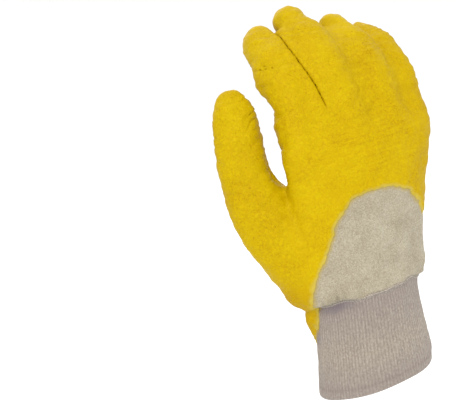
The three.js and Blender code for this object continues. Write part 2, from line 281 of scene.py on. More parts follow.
def latex_reach(points):
    """How far each point lies inside the latex, in mm; below 0 it is bare cloth."""
    along = round_hand(points[:, 0], points[:, 1])
    best = np.full(len(points), 1e9)
    below = np.zeros(len(points), bool)
    for shift in (-ROUND_ALL, 0, ROUND_ALL):
        line = np.concatenate([EDGE, EDGE[:1] + [ROUND_ALL, 0]])
        for (u0, z0), (u1, z1) in zip(line[:-1], line[1:]):
            u = along - shift
            du, dz = u1 - u0, z1 - z0
            t = np.clip(((u - u0) * du + (points[:, 2] - z0) * dz) / (du * du + dz * dz), 0, 1)
            best = np.minimum(best, np.hypot(u - u0 - t * du, points[:, 2] - z0 - t * dz))
            if abs(du) > 1e-6:
                across = (u >= min(u0, u1)) & (u < max(u0, u1))
                under = points[:, 2] < z0 + (u - u0) / du * dz
                below ^= across & under
    signed = np.where(below, -best, best)
    palm = smoothstep(-4, 6, points[:, 1])
    ragged = noise3(points / [3.0, 3.0, 9.0], 5) * 1.6 + noise3(points / [1.4, 1.4, 4.0], 6) * 0.8
    soft = noise3(points / 5.0, 7) * 0.5 + noise3(points / 1.6, 8) * 0.35
    cuff = smoothstep(66, 58, points[:, 2])
    return signed + soft * (1 - 0.6 * cuff * palm) + ragged * cuff * np.maximum(palm, 0.15)


# The glove's own surface.

def liner_outside():
    """The jersey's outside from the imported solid, without its rim and closed at the wrist."""
    bm = bmesh.new()
    bm.from_mesh(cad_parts["liner"].data)
    bmesh.ops.remove_doubles(bm, verts=bm.verts, dist=1e-6)
    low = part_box("liner")[0].z + RIM_CUT * MM
    whole = bm.verts[:] + bm.edges[:] + bm.faces[:]
    bmesh.ops.bisect_plane(
        bm, geom=whole, dist=1e-7, plane_co=(0, 0, low), plane_no=(0, 0, 1), clear_inner=True
    )
    left = set(bm.verts)
    groups = []
    while left:
        stack, group = [left.pop()], []
        while stack:
            v = stack.pop()
            group.append(v)
            for e in v.link_edges:
                o = e.other_vert(v)
                if o in left:
                    left.remove(o)
                    stack.append(o)
        groups.append(group)
    groups.sort(key=lambda g: max(v.co.z for v in g))
    keep = set(groups[-1])
    bmesh.ops.delete(bm, geom=[v for v in bm.verts if v not in keep], context="VERTS")
    made = bmesh.ops.extrude_edge_only(bm, edges=[e for e in bm.edges if e.is_boundary])["geom"]
    rim = [g for g in made if isinstance(g, bmesh.types.BMVert)]
    bmesh.ops.translate(bm, vec=(0, 0, -3 * MM), verts=rim)
    bmesh.ops.holes_fill(bm, edges=[e for e in bm.edges if e.is_boundary], sides=0)
    bmesh.ops.recalc_face_normals(bm, faces=bm.faces)
    mesh = bpy.data.meshes.new("hand")
    bm.to_mesh(mesh)
    bm.free()
    return mesh


def cuff_core():
    """The plain closed form of the knit wrist, up into the hand."""
    ups = np.array([-2, 8, 18, 28, 38, 48, SEAM_UP, SEAM_UP + 6])
    wide, deep, lean = wrist_oval(ups)
    turns = np.linspace(0, 2 * math.pi, 96, endpoint=False)
    points = [
        (c + (w + out) * math.cos(t), (d + out) * math.sin(t), up)
        for up, w, d, c in zip(ups, wide, deep, lean)
        for t, out in zip(turns, wrist_bulge(up, turns))
    ]
    n = len(turns)
    faces = tube_faces(len(ups), n)
    faces.append(tuple(range(n - 1, -1, -1)))
    faces.append(tuple(range((len(ups) - 1) * n, len(ups) * n)))
    return points, faces


# Each finger from its root to its tip: points down its middle, and on the ridge of its back beside them.
FINGER_LINES = {
    "index": [
        ((-15.2, 2.0, 159.2), (-15.2, -10.7, 161.4)), ((-16.7, 5.1, 173.6), (-16.7, -7.2, 176.3)),
        ((-18.0, 8.6, 187.9), (-18.0, -3.3, 191.3)), ((-19.0, 13.7, 201.8), (-19.0, 2.7, 207.1)),
        ((-19.0, 20.7, 211.9), (-19.0, 12.3, 219.9)), ((-18.2, 30.0, 219.9), (-18.2, 23.6, 228.9)),
        ((-17.3, 38.2, 225.4), (-17.3, 32.4, 234.1)),
    ],
    "middle": [
        ((14.3, -1.7, 160.9), (14.3, -15.1, 163.1)), ((12.8, 1.5, 176.2), (12.8, -11.4, 179.1)),
        ((11.3, 5.2, 191.5), (11.3, -7.3, 195.0)), ((10.0, 10.3, 206.3), (10.0, -1.5, 211.6)),
        ((9.2, 17.2, 217.5), (9.2, 8.0, 225.4)), ((8.9, 26.9, 226.3), (8.9, 19.8, 235.7)),
        ((8.8, 35.5, 232.4), (8.8, 29.3, 241.5)),
    ],
    "ring": [
        ((41.5, -1.0, 154.0), (41.5, -13.9, 156.8)), ((41.5, 2.8, 168.8), (41.5, -9.7, 172.1)),
        ((41.6, 7.0, 183.4), (41.6, -5.1, 187.4)), ((41.7, 12.8, 197.4), (41.7, 1.7, 203.2)),
        ((41.8, 20.2, 207.6), (41.8, 11.8, 216.0)), ((41.9, 30.0, 215.6), (41.9, 23.5, 225.0)),
        ((42.0, 38.5, 221.1), (42.0, 32.7, 230.2)),
    ],
    "little": [
        ((53.7, 2.4, 136.8), (53.7, -10.2, 139.0)), ((57.5, 5.9, 152.3), (57.5, -6.2, 155.2)),
        ((60.9, 9.8, 167.7), (60.9, -2.0, 171.1)), ((63.8, 14.9, 183.0), (63.8, 3.4, 187.7)),
        ((65.4, 21.4, 194.8), (65.4, 12.2, 201.7)), ((65.3, 31.2, 204.2), (65.3, 24.4, 213.2)),
        ((64.5, 40.2, 210.3), (64.5, 34.5, 219.2)),
    ],
}
# How deep the valley between two fingers is at each of those rows.
VALLEYS = [
    ("index", "middle", (0.0, 0.2, 1.0, 1.6, 2.2, 3.0, 3.8)),
    ("middle", "ring", (1.4, 3.4, 4.4, 4.4, 4.4, 4.8, 5.6)),
    ("ring", "little", (0.6, 1.4, 2.6, 3.8, 4.4, 5.0, 6.4)),
]
# The slit where index and middle finger press together: x and height, and the height of its lower end.
SLIT = [(-2.6, 178), (-3.3, 184.3), (-4.8, 198), (-8.2, 211), (-9.8, 222.4), (-8.8, 232), (-8.0, 240)]
SLIT_LOW = 183.0
JOINT_ROWS = (2, 5)  # the rows of a finger's table that lie beside its two joints
BACK_WAY = np.array([0.0, -0.75, 0.66])  # the way that the backs of the fingers face
PALM_WAY = np.array([0.0, 0.9, -0.44])  # and their palm sides


def finger_bridges():
    """Closed slabs that fill the grooves between pressed fingers on the back, up to a shallow valley."""
    points, faces = [], []
    shares = np.linspace(0, 1, 7)
    for near, far, depths in VALLEYS:
        base, rows, across = len(points), len(depths), len(shares)
        for (a, ridge_a), (b, ridge_b), depth in zip(FINGER_LINES[near], FINGER_LINES[far], depths):
            a, b, ridge_a, ridge_b = (np.array(p) for p in (a, b, ridge_a, ridge_b))
            for share in shares:
                middle = a + (b - a) * share
                rise = (ridge_a - a) + ((ridge_b - b) - (ridge_a - a)) * share
                long = np.linalg.norm(rise)
                points.append(middle + rise * (long - 0.8 - depth * math.sin(math.pi * share)) / long)
                points.append(middle)

        def at(r, k, side):
            return base + (r * across + k) * 2 + side

        for r in range(rows - 1):
            for k in range(across - 1):
                faces.append((at(r, k, 0), at(r, k + 1, 0), at(r + 1, k + 1, 0), at(r + 1, k, 0)))
                faces.append((at(r, k, 1), at(r + 1, k, 1), at(r + 1, k + 1, 1), at(r, k + 1, 1)))
            faces.append((at(r, 0, 0), at(r + 1, 0, 0), at(r + 1, 0, 1), at(r, 0, 1)))
            last = across - 1
            faces.append((at(r, last, 0), at(r, last, 1), at(r + 1, last, 1), at(r + 1, last, 0)))
        for k in range(across - 1):
            faces.append((at(0, k, 0), at(0, k, 1), at(0, k + 1, 1), at(0, k + 1, 0)))
            last = rows - 1
            faces.append((at(last, k, 0), at(last, k + 1, 0), at(last, k + 1, 1), at(last, k, 1)))
    return points, faces


def filled_valleys(points, faces, edges):
    """The latex rounds off the valleys between the middle, ring and little fingers on the back."""
    calm = vertex_normals(relaxed(points, edges, 40), faces)
    x, z = points[:, 0], points[:, 2]
    mask = smoothstep(-3, 5, x - (20 - 0.1 * (z - 135)))
    mask *= smoothstep(-0.05, 0.3, calm @ BACK_WAY)
    mask *= smoothstep(120, 140, z) * (1 - 0.75 * smoothstep(205, 238, z))
    both, count = neighbours(edges, len(points))
    for _ in range(FILL_ROUNDS):
        mean = mean_of_neighbours(points, both, count)
        out = np.maximum(((mean - points) * calm).sum(1), 0)
        points = points + (0.9 * mask * out)[:, None] * calm
    return relaxed(points, edges, 2, 0.4)


# Swellings and hollows of this glove: x, y and z of the middle, radius, height, and the way that the
# surface faces there, or None where it doesn't matter.
THUMB_WAY, FINGER_WAY, UP_WAY = (-1, 0, 0), (1, 0, 0), (0.5, 0, 0.85)
SWELLINGS = [
    # heel of the thumb over the knit wrist
    (-38, -2, 55, 12, 4.0, None), (-45, 4, 66, 10, 4.5, None), (-38, 5, 50, 9, 3.6, None),
    (-42, 4, 61, 5, 3.2, None), (-37, 8, 40, 7, 1.2, None),
    (-62, 14, 96, 14, -1.7, None),
    # jersey blousing over the seam on the little finger's side
    (47, -6, 68, 12, 6.3, None), (49, -7, 90, 13, 1.5, None),
    # knuckle of the little finger and its tip
    (71, 1, 158, 13, 3.6, None), (73, 32, 214, 8, 1.6, None), (68, 47, 225, 7, -1.6, None),
    (53, 39, 226, 6, -1.8, None),
    # fingertips
    (18, 34, 241, 9, -2.0, None), (54, 40, 227, 9, -2.6, None), (-24, 51, 235, 8, -1.8, None),
    # index finger's pads, its root and the web of the thumb
    (-30, 23, 204, 10, 3.4, THUMB_WAY), (-30, 10, 173, 11, 2.6, THUMB_WAY),
    (-30, 14, 188, 3.5, -1.6, THUMB_WAY), (-30, -12, 165, 16, 5.0, THUMB_WAY),
    (-34, 7, 146, 8, -1.3, THUMB_WAY),
    # the thumb's inner side and tip
    (-38, 20, 180, 11, -1.2, FINGER_WAY), (-36, 18, 165, 11, -3.2, FINGER_WAY),
    (-34, 14, 152, 10, -4.6, FINGER_WAY), (-54, 28, 204, 9, 2.0, None),
    # the web between thumb and index finger
    (-38, 12, 147, 8, -3.5, UP_WAY),
    # index and middle finger pressed together
    (-9, 22, 212, 18, 1.6, FINGER_WAY), (-3, 24, 216, 18, 1.6, THUMB_WAY),
]


def swollen(points, normals, within):
    """The points moved along their normals by the table, but not at the latex's edge on the wrist."""
    move = np.zeros(len(points))
    hug = np.where(points[:, 2] < SEAM_UP + 3, smoothstep(1.5, 8, within), 1)
    for x, y, z, radius, height, way in SWELLINGS:
        away = ((points - [x, y, z]) ** 2).sum(1) / radius ** 2
        facing = 1 if way is None else smoothstep(0.0, 0.6, normals @ np.array(way, float))
        move += height * np.exp(-away) * facing
    return points + normals * (move * hug)[:, None]


def glove_skin():
    """The smooth outside of hand and wrist together, coarse and fine."""
    hand = bpy.data.objects.new("skin", liner_outside())
    bpy.context.scene.collection.objects.link(hand)
    bm = bmesh.new()
    bm.from_mesh(hand.data)
    for more_points, more_faces in (cuff_core(), finger_bridges()):
        verts = [bm.verts.new([c * MM for c in p]) for p in more_points]
        for f in more_faces:
            bm.faces.new([verts[i] for i in f])
    bm.to_mesh(hand.data)
    bm.free()
    remesh = hand.modifiers.new("remesh", "REMESH")
    remesh.mode = "VOXEL"
    remesh.voxel_size = SKIN_VOXEL
    mesh = evaluated(hand)
    points, faces = read_mesh(mesh)
    edges = edges_of(faces)
    points = relaxed(points, edges, 14, 0.6, -0.5)
    points = relaxed(points, edges, 3, 0.4)
    points = filled_valleys(points, faces, edges)
    points = swollen(points, vertex_normals(points, faces), latex_reach(points))
    points = relaxed(points, edges, 1, 0.4)
    coarse = (points, faces)
    fine = make_object("fine", points * MM, faces)
    fine.modifiers.new("fine", "SUBSURF").levels = 1
    mesh = evaluated(fine)
    return coarse, read_mesh(mesh)


(coarse_points, coarse_faces), (skin, skin_faces) = glove_skin()
skin_normals = vertex_normals(skin, skin_faces)
reach = latex_reach(skin)


# Relief.

def slit_gap(points, away):
    """Distance across from the slit between two fingers, and how open the slit is, from 0 to 1."""
    x, z = points[:, 0], points[:, 2]
    places = np.array(SLIT)
    gap = x - np.interp(z, places[:, 1], places[:, 0])
    facing = smoothstep(-0.1, 0.3, away @ BACK_WAY)
    return gap, facing * smoothstep(SLIT_LOW - 1, SLIT_LOW + 6, z)


def joint_rings(points, away):
    """Distance from the nearest finger joint on the palm side, and how crinkled the latex is there."""
    nearest, below = np.full(len(points), 99.0), np.zeros(len(points))
    for rows in FINGER_LINES.values():
        for row in JOINT_ROWS:
            middle, ridge = (np.array(p) for p in rows[row])
            joint = 2 * middle - ridge
            apart = np.linalg.norm(points - joint, axis=1)
            below = np.where(apart < nearest, smoothstep(-1, 5, joint[2] - points[:, 2]), below)
            nearest = np.minimum(nearest, apart)
    facing = smoothstep(-0.1, 0.4, away @ PALM_WAY)
    return nearest, facing * below * smoothstep(2, 5, nearest) * smoothstep(22, 15, nearest)


def large_relief(points, normals):
    """Folds and swellings of the glove as if on a hand, in mm along the surface's own direction."""
    x, y, z = points.T
    out = 0.35 * noise3(points / [9, 9, 6], 21)
    out += 0.22 * noise3(points / [4, 4, 3], 22)
    # the jersey is gathered into the seam
    bare = smoothstep(2, -3, reach)
    along = round_hand(x, y)
    gather = noise3(np.stack([along / 5.5, 0 * z, z / 30], 1), 31)
    over = above_seam(points)
    out += gather * 0.9 * smoothstep(20, 5, over) * smoothstep(0.5, 3, over) * (0.35 + 0.65 * bare)
    out += 1.1 * smoothstep(0.3, 2.5, over) * smoothstep(14, 5, over) * bare
    # a soft roll with pleats where the jersey's corner meets the latex
    corner = np.exp(-((x + 27) / 9) ** 2) * smoothstep(2, -4, y) * smoothstep(3, -1, reach)
    pleat = np.sin(along * 2 * math.pi / 5.2 + 1.5 * noise3(points / 6, 32))
    out += corner * np.exp(-((over - 4.0) / 3.0) ** 2) * (1.5 + 1.2 * pleat)
    gap, slit = slit_gap(points, normals)
    out -= slit * 1.1 * np.exp(-((gap / 1.1) ** 2))
    out += slit * 0.5 * np.exp(-(((np.abs(gap) - 3.5) / 2.5) ** 2))
    # wrinkles across the knuckles and along the fingers
    warp = points + 3.0 * np.stack([noise3(points / 14, seed) for seed in (41, 42, 43)], 1)
    wrinkle = noise3(warp / [16, 16, 3.2], 44)
    ridge = 1 - np.abs(wrinkle) * 2
    out += 0.28 * ridge * smoothstep(120, 150, z) * (0.4 + 0.6 * smoothstep(-4, 8, y))
    return out


relief = large_relief(skin, skin_normals)
form = skin + skin_normals * relief[:, None]
normals = vertex_normals(form, skin_faces)


# Materials.

class Look:
    """A small helper for building one material's nodes."""

    def __init__(self, name, roughness, specular=0.3, sheen=0.0):
        self.material = bpy.data.materials.new(name)
        self.material.use_nodes = True
        self.tree = self.material.node_tree
        self.shader = self.tree.nodes["Principled BSDF"]
        self.shader.inputs["Roughness"].default_value = roughness
        self.shader.inputs["Specular IOR Level"].default_value = specular
        self.shader.inputs["Sheen Weight"].default_value = sheen
        self.where = self.add("ShaderNodeTexCoord").outputs["Object"]

    def add(self, kind, **values):
        node = self.tree.nodes.new(kind)
        for key, value in values.items():
            setattr(node, key, value)
        return node

    def link(self, a, b):
        self.tree.links.new(a, b)

    def set(self, socket, value):
        if isinstance(value, bpy.types.NodeSocket):
            self.link(value, socket)
        else:
            socket.default_value = value

    def math(self, operation, a, b=0.0, c=0.0):
        node = self.add("ShaderNodeMath", operation=operation)
        for socket, value in zip(node.inputs, (a, b, c)):
            self.set(socket, value)
        return node.outputs[0]

    def plus(self, a, b):
        return self.math("ADD", a, b)

    def minus(self, a, b):
        return self.math("SUBTRACT", a, b)

    def times(self, a, b):
        return self.math("MULTIPLY", a, b)

    def over(self, a, b):
        return self.math("DIVIDE", a, b)

    def sine(self, a):
        return self.math("SINE", a)

    def absolute(self, a):
        return self.math("ABSOLUTE", a)

    def blend(self, *parts):
        """The sum of some values, each times its weight."""
        terms = [self.times(value, weight) for value, weight in parts]
        total = terms[0]
        for term in terms[1:]:
            total = self.plus(total, term)
        return total

    def scaled(self, vector, scale):
        node = self.add("ShaderNodeVectorMath", operation="MULTIPLY")
        self.set(node.inputs[0], vector)
        node.inputs[1].default_value = scale
        return node.outputs[0]

    def noise(self, size, detail=2.0, distortion=0.0, stretch=(1, 1, 1)):
        node = self.add("ShaderNodeTexNoise")
        self.link(self.scaled(self.where, [1000 / size / s for s in stretch]), node.inputs["Vector"])
        node.inputs["Scale"].default_value = 1.0
        node.inputs["Detail"].default_value = detail
        node.inputs["Distortion"].default_value = distortion
        return node.outputs["Fac"]

    def wander(self, size, detail, amount):
        """Noise around 0, which bends a line that would be too straight."""
        return self.times(self.minus(self.noise(size, detail), 0.5), amount)

    def read(self, name):
        return self.add("ShaderNodeAttribute", attribute_name=name).outputs["Fac"]

    def ramp(self, value, stops):
        node = self.add("ShaderNodeValToRGB")
        self.link(value, node.inputs[0])
        elements = node.color_ramp.elements
        while len(elements) < len(stops):
            elements.new(0.5)
        for element, (place, colour) in zip(elements, stops):
            element.position = place
            element.color = (*colour, 1)
        return node.outputs[0]

    def mix(self, share, a, b):
        node = self.add("ShaderNodeMix", data_type="RGBA")
        self.set(node.inputs[0], share)
        for socket, value in ((node.inputs[6], a), (node.inputs[7], b)):
            self.set(socket, (*value, 1) if isinstance(value, tuple) else value)
        return node.outputs[2]

    def bump(self, height, depth, strength):
        node = self.add("ShaderNodeBump")
        self.link(height, node.inputs["Height"])
        node.inputs["Distance"].default_value = depth * MM
        node.inputs["Strength"].default_value = strength
        return node.outputs[0]

    def finish(self, colour, normal, roughness=None):
        self.link(colour, self.shader.inputs["Base Color"])
        self.link(normal, self.shader.inputs["Normal"])
        if roughness is not None:
            self.link(roughness, self.shader.inputs["Roughness"])
        return self.material


def rgb(r, g, b):
    """A surface colour that looks like r, g, b in the studio's light, which is brighter than 1."""
    return tuple(ALBEDO * (c / 255) ** 2.2 for c in (r, g, b))


def latex_look():
    """Crinkled yellow rubber: valleys, fine grain, arcs over the knuckles and rings at the joints, with
    painted shade in the creases, the crinkles' valleys and the slit, over the thumb's heel and on the little
    finger's side.
    """
    look = Look("latex", 0.5, 0.06)
    crinkle = look.read("crinkle")
    gap = look.absolute(look.plus(look.read("gap"), look.wander(3.0, 2.0, 1.4)))
    slit = look.ramp(look.over(gap, 2.0), [(0.12, (1, 1, 1)), (0.7, (0, 0, 0))])
    slit = look.times(slit, look.read("slit"))
    worm = look.noise(2.6, 1.5, 1.2)
    ridge = look.absolute(look.minus(worm, 0.5))
    valley = look.math("SMOOTH_MIN", look.times(ridge, 7.0), 1.0, 0.3)
    grain = look.noise(0.9, 2.0, 0.8)
    arcs = look.noise(1.5, 1.0, 0.6, (14, 14, 1))
    relief = look.times(look.blend((valley, 0.6), (grain, 0.5)), crinkle)
    height = look.plus(relief, look.times(arcs, look.read("arcs")))
    height = look.minus(height, look.times(slit, 0.7))
    rings = look.plus(look.times(look.read("rings"), 3.3), look.wander(5.0, 1.5, 9.0))
    rings = look.sine(rings)
    rings = look.times(rings, look.read("ringed"))
    height = look.plus(height, look.times(rings, 0.6))
    broad = look.noise(22, 2.0)
    speck = look.blend((look.noise(1.5, 2.0), 0.6), (grain, 0.4))
    shift = look.times(look.minus(arcs, 0.5), look.read("arcs"))
    # the valley term paints shade into the crinkles' valleys
    tone = look.blend((valley, 0.16), (speck, 0.45), (broad, 0.35), (shift, 0.22), (rings, 0.06))
    colour = look.ramp(
        tone,
        [
            (0.28, rgb(192, 150, 2)),
            (0.42, rgb(209, 173, 3)),
            (0.56, rgb(217, 183, 5)),
            (0.72, rgb(224, 193, 14)),
        ],
    )
    pits = look.ramp(speck, [(0.3, (1, 1, 1)), (0.4, (0, 0, 0))])
    pits = look.times(pits, look.times(crinkle, 0.5))
    colour = look.mix(pits, colour, rgb(160, 110, 0))
    # painted shade over the thumb's heel and on the little finger's side
    colour = look.mix(look.read("side_shade"), colour, rgb(182, 132, 4))
    # painted shade in the creases
    colour = look.mix(look.read("crease_shade"), colour, rgb(138, 92, 2))
    # painted shade down the slit between the index and middle fingers
    colour = look.mix(look.times(slit, 0.75), colour, rgb(158, 104, 4))
    colour = look.mix(look.read("thin"), colour, rgb(216, 196, 96))
    rough = look.plus(look.times(grain, 0.2), 0.42)
    return look.finish(colour, look.bump(height, 0.35, 0.8), rough)


def knit_height(look, wale, course):
    """Little V stitches: wales across and courses up, from the along and up attributes in mm."""
    along = look.over(look.read("along"), wale)
    up = look.over(look.read("up"), course)
    cell = look.absolute(look.minus(look.math("FRACT", along), 0.5))
    slant = look.plus(up, look.times(cell, 1.2))
    wave = look.sine(look.times(slant, 2 * math.pi))
    side = look.sine(look.times(cell, 2 * math.pi))
    return look.plus(look.times(wave, 0.35), side)


def jersey_look():
    """Matt unbleached cotton, with painted shade in the gathers and folds, and stained beside the latex."""
    look = Look("jersey", 0.95, 0.12, 0.2)
    knit = knit_height(look, 1.0, 0.9)
    fluff = look.noise(0.8, 3.0, 0.5)
    height = look.blend((knit, 0.45), (fluff, 0.5))
    tone = look.blend((look.noise(14, 2.0), 0.3), (fluff, 0.7))
    colour = look.ramp(
        tone,
        [(0.36, rgb(160, 148, 124)), (0.5, rgb(182, 171, 147)), (0.64, rgb(203, 194, 171))],
    )
    # painted shade in the jersey's gathers and folds
    colour = look.mix(look.read("crease_shade"), colour, rgb(140, 127, 112))
    colour = look.mix(look.read("stain"), colour, rgb(190, 166, 84))
    return look.finish(colour, look.bump(height, 0.16, 0.6))


def rib_look():
    """Heathered grey cotton, with painted shade in the grooves and under the seam, darker towards the hem,
    and stained beside the latex.
    """
    look = Look("rib", 0.95, 0.12, 0.2)
    knit = knit_height(look, 1.05, 1.0)
    fluff = look.noise(0.8, 3.0, 0.5)
    height = look.blend((knit, 0.4), (fluff, 0.6))
    heather = look.noise(1.0, 3.0, 0.4, (1, 1, 1.6))
    tone = look.blend((heather, 0.65), (fluff, 0.35))
    colour = look.ramp(
        tone,
        [(0.34, rgb(150, 138, 128)), (0.5, rgb(177, 165, 150)), (0.66, rgb(202, 191, 174))],
    )
    # painted shade: the rib is darker just under the seam's overhang; the same ramp also makes it darker
    # towards the hem
    share = look.over(look.read("up"), SEAM_UP + 1)
    high = look.ramp(share, [(0.1, (0.9, 0.9, 0.9)), (0.45, (0, 0, 0)), (0.95, (1, 1, 1))])
    colour = look.mix(look.times(high, 0.42), colour, rgb(150, 138, 138))
    colour = look.mix(look.read("shade"), colour, rgb(122, 110, 122))
    # painted shade in the grooves between the ribs, and a faint darker line where the folded hem ends
    colour = look.mix(look.read("groove_shade"), colour, rgb(132, 118, 108))
    colour = look.mix(look.read("stain"), colour, rgb(196, 164, 40))
    return look.finish(colour, look.bump(height, 0.18, 0.6))


def thread_look():
    """Twisted thread of the overlocked seam."""
    look = Look("seam_thread", 0.9, 0.2, 0.2)
    twist = look.sine(look.times(look.plus(look.read("along"), look.read("up")), 4.2))
    fluff = look.noise(0.7, 2.0)
    height = look.plus(look.times(twist, 0.5), fluff)
    colour = look.ramp(
        look.plus(look.times(twist, 0.25), fluff),
        [(0.2, rgb(150, 138, 130)), (0.5, rgb(182, 170, 156)), (0.85, rgb(204, 193, 176))],
    )
    return look.finish(colour, look.bump(height, 0.25, 0.8))


# The pieces.

def settled(faces, keep):
    """The old numbers of the points that the kept faces use, and those faces with new numbers."""
    used = sorted({i for f, ok in zip(faces, keep) if ok for i in f})
    place = {old: new for new, old in enumerate(used)}
    kept = [tuple(place[i] for i in f) for f, ok in zip(faces, keep) if ok]
    return np.array(used), kept


def border_of(faces):
    """Directed edges that only one face has."""
    seen = dict.fromkeys((f[i], f[(i + 1) % len(f)]) for f in faces for i in range(len(f)))
    return [(a, b) for a, b in seen if (b, a) not in seen]


def onto_edge(points, normals, border):
    """Border points slide over the surface until the latex's reach is 0 there."""
    ids = sorted({i for e in border for i in e})
    p, n = points[ids], normals[ids]
    side = np.cross(n, [0.3, 0.2, 0.93])
    side /= np.linalg.norm(side, axis=1)[:, None]
    other = np.cross(n, side)
    step = 0.4
    for _ in range(2):
        here = latex_reach(p)
        ga = (latex_reach(p + step * side) - latex_reach(p - step * side)) / (2 * step)
        gb = (latex_reach(p + step * other) - latex_reach(p - step * other)) / (2 * step)
        size = np.maximum(ga * ga + gb * gb, 0.25)
        move = -(here / size)[:, None] * (ga[:, None] * side + gb[:, None] * other)
        length = np.linalg.norm(move, axis=1)[:, None]
        p = p + move * np.minimum(1, 0.9 / np.maximum(length, 1e-9))
    points = points.copy()
    points[ids] = p
    return points


def concavity(points, faces, normals):
    """How deep each point lies below its neighbours, smoothed, in mm."""
    edges = edges_of(faces)
    smooth = relaxed(points, edges, 10, 0.5)
    deep = ((smooth - points) * normals).sum(1)
    both, count = neighbours(edges, len(points))
    for _ in range(2):
        deep = 0.5 * deep + 0.5 * np.bincount(both[:, 0], deep[both[:, 1]], len(points)) / count
    return deep


# painted shade: how strongly the colour darkens where the surface lies in a hollow
crease_shade = smoothstep(0.12, 0.75, concavity(form, skin_faces, normals))


def latex_coating():
    """The latex skin, as far as it reaches, with its edge tucked into the cloth."""
    used, faces = settled(skin_faces, [reach[list(f)].mean() > 0 for f in skin_faces])
    points, away = form[used], normals[used]
    points = onto_edge(points, away, border_of(faces))
    inside = np.maximum(latex_reach(points), 0)
    thick = smoothstep(0, COAT_FADE, inside)
    lift = COAT_EDGE + (COAT_LIFT - COAT_EDGE) * thick
    outer = points + away * lift[:, None]
    rim = border_of(faces)
    ids = sorted({i for e in rim for i in e})
    under = {old: len(outer) + k for k, old in enumerate(ids)}
    outer = np.concatenate([outer, points[ids] - COAT_TUCK * away[ids]])
    faces = faces + [(b, a, under[a], under[b]) for a, b in rim]
    made = make_object("latex_coating_skin", outer * MM, faces)

    def mark(name, values):
        """The tucked rim takes the values of the edge above it."""
        attribute(made, name, np.concatenate([values, values[ids]]))

    x, z = points[:, 0], points[:, 2]
    # painted shade in the hollows
    mark("crease_shade", crease_shade[used])
    mark("thin", 0.75 * (1 - smoothstep(0.2, 2.8, inside)))
    plain = smoothstep(-0.1, -0.6, away[:, 1]) * smoothstep(-52, -38, x)
    mark("crinkle", 1 - 0.6 * plain * (1 - 0.7 * smoothstep(150, 185, z)))
    arcs = smoothstep(132, 144, z) * smoothstep(178, 160, z) * smoothstep(0.2, -0.3, away[:, 1])
    mark("arcs", 0.2 + 1.2 * arcs * smoothstep(-30, 0, x))
    # painted shade: darker over the low heel of the thumb, a little darker on the little finger's side
    mark("side_shade", 0.45 * smoothstep(92, 58, z) * smoothstep(-22, -46, x) + 0.12 * smoothstep(44, 60, x))
    gap, slit = slit_gap(points, away)
    mark("gap", gap)
    mark("slit", slit)
    nearest, ringed = joint_rings(points, away)
    mark("rings", nearest)
    mark("ringed", ringed)
    made.data.materials.append(latex_look())
    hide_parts("latex_coating")
    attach(made, "root")
    return made


def jersey_liner():
    """Fine where it shows, and plain inside the hand."""
    over = above_seam(skin)
    keep = [reach[list(f)].mean() < JERSEY_UNDER and over[list(f)].mean() > SEAM_CLEAR for f in skin_faces]
    used, faces = settled(skin_faces, keep)
    points = form[used]
    coarse_normals = vertex_normals(coarse_points, coarse_faces)
    inner = coarse_points - LINER_WALL * coarse_normals
    over = above_seam(coarse_points)
    keep = [over[list(f)].mean() > SEAM_CLEAR for f in coarse_faces]
    inside, inner_faces = settled(coarse_faces, keep)
    flipped = [tuple(i + len(points) for i in reversed(f)) for f in inner_faces]
    everything = np.concatenate([points, inner[inside]])
    made = make_object("liner_jersey", everything * MM, faces + flipped)
    clean = np.zeros(len(inside))
    attribute(made, "stain", np.concatenate([0.8 * smoothstep(-2.6, 0.2, reach[used]), clean]))
    # painted shade in the hollows
    attribute(made, "crease_shade", np.concatenate([0.8 * crease_shade[used], clean]))
    attribute(made, "along", round_hand(everything[:, 0], everything[:, 1]))
    attribute(made, "up", everything[:, 2])
    made.data.materials.append(jersey_look())
    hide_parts("liner")
    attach(made, "root")
    return made


